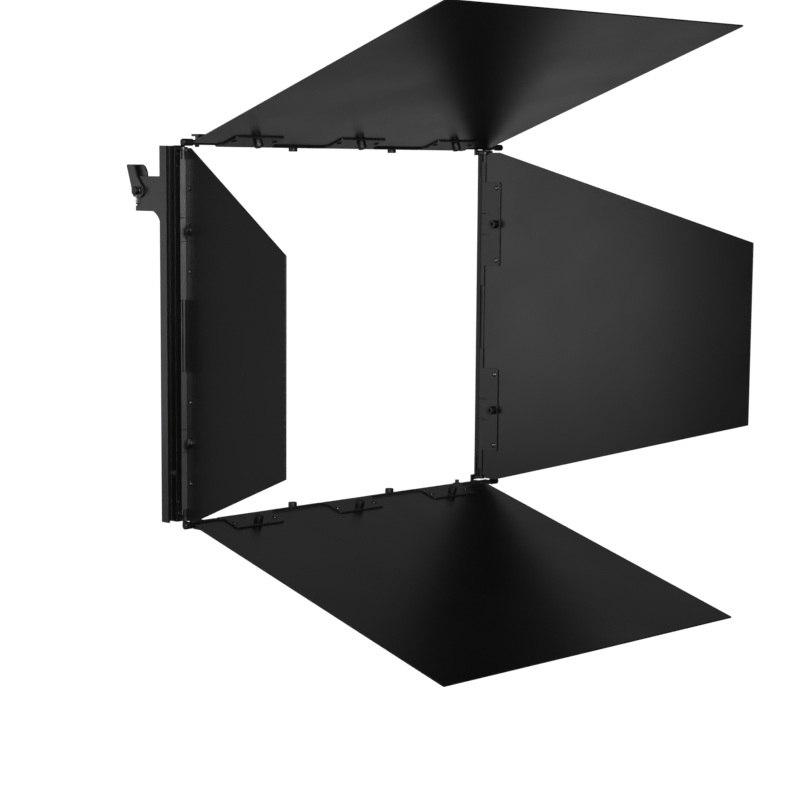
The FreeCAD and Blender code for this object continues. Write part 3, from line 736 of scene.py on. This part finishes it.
# Soft boxes: place, the point that each one faces, width, height and power in watts
SOFT_BOXES = {
    "key": ((-1.07, -0.50, 0.55), (-0.2, 0, 0.1), 0.5, 0.5, 4.0),
    "side": ((-1.07, 0.65, 0.0), (0.19, -0.15, 0), 0.96, 0.56, 2.9),
    "left": ((0.10, 1.50, 0), (-0.28, -0.1, 0), 1.1, 1.3, 0.08),
    "front": ((-1.04, -1.37, 0.42), (-0.19, 0, 0.15), 0.34, 0.50, 25.0),
    "low_back": ((1.40, 1.09, -0.48), (0, -0.17, 0.2), 1.4, 1.0, 1.4),
    "high_back": ((1.40, 0.88, 0.79), (0, -0.17, -0.2), 1.4, 1.0, 0.6),
}


def soft_box(name, at, target, width, height, power):
    """A rectangular area light that faces a point."""
    data = bpy.data.lights.new(name, "AREA")
    data.shape = "RECTANGLE"
    data.size = width
    data.size_y = height
    data.energy = power
    thing = bpy.data.objects.new(name, data)
    away = Vector(at) - Vector(target)
    thing.matrix_world = Matrix.Translation(at) @ away.to_track_quat("Z", "Y").to_matrix().to_4x4()
    thing.visible_camera = False
    bpy.context.scene.collection.objects.link(thing)


FLOOR_Z = -0.75
DOME_R = 14.0
DOME_STEPS = 48
ROOM_GREY = 0.05
GLOW_WHITE = (1.0, 1.0, 1.0, 1.0)
PAINT_WHITE = (0.8, 0.8, 0.8, 1.0)


def white_paint(name):
    """A matt white that glows, so that the background stays white under dim lights."""
    paint = bpy.data.materials.new(name)
    paint.use_nodes = True
    inputs = paint.node_tree.nodes["Principled BSDF"].inputs
    inputs["Base Color"].default_value = PAINT_WHITE
    inputs["Roughness"].default_value = 0.9
    inputs["Emission Color"].default_value = GLOW_WHITE
    inputs["Emission Strength"].default_value = 1.0
    return paint


def stage_piece(name, mesh):
    """A white surface that fills the background and throws no light on the part."""
    data = bpy.data.meshes.new(name)
    mesh.to_mesh(data)
    mesh.free()
    data.materials.append(white_paint(name + "_paint"))
    thing = bpy.data.objects.new(name, data)
    thing.visible_glossy = False
    thing.visible_diffuse = False
    thing.visible_shadow = False
    bpy.context.scene.collection.objects.link(thing)


def studio():
    """A white floor and dome, a dim room for the black coats to mirror, and soft boxes."""
    world = bpy.data.worlds.new("studio")
    world.use_nodes = True
    sky = world.node_tree.nodes["Background"]
    sky.inputs["Color"].default_value = (ROOM_GREY, ROOM_GREY, ROOM_GREY, 1.0)
    sky.inputs["Strength"].default_value = 1.0
    bpy.context.scene.world = world
    bpy.context.scene.view_settings.view_transform = "Standard"
    for name, values in SOFT_BOXES.items():
        soft_box(name, *values)
    floor = bmesh.new()
    bmesh.ops.create_circle(floor, cap_ends=True, segments=DOME_STEPS, radius=DOME_R)
    bmesh.ops.translate(floor, verts=floor.verts, vec=(0, 0, FLOOR_Z))
    stage_piece("floor", floor)
    dome = bmesh.new()
    bmesh.ops.create_uvsphere(dome, u_segments=DOME_STEPS, v_segments=DOME_STEPS // 2, radius=DOME_R)
    stage_piece("dome", dome)


def main():
    camera()
    studio()
    dress_frame_nodes()
    for side in SIDES:
        tension_hardware(side)
        rivets(side)
    for side in LONG_SIDES:
        upright_screws("holder_screws_" + side, "holder_screw_set_" + side, HOLDER_SHANK_R, HOLDER_HEX)
        upright_screws("corner_tab_screws_" + side, "tab_screw_set_" + side, TAB_SHANK_R, TAB_HEX)
    corner_screws()
    for side in SIDES:
        hinge_rod(side)
    latch_spring()


main()
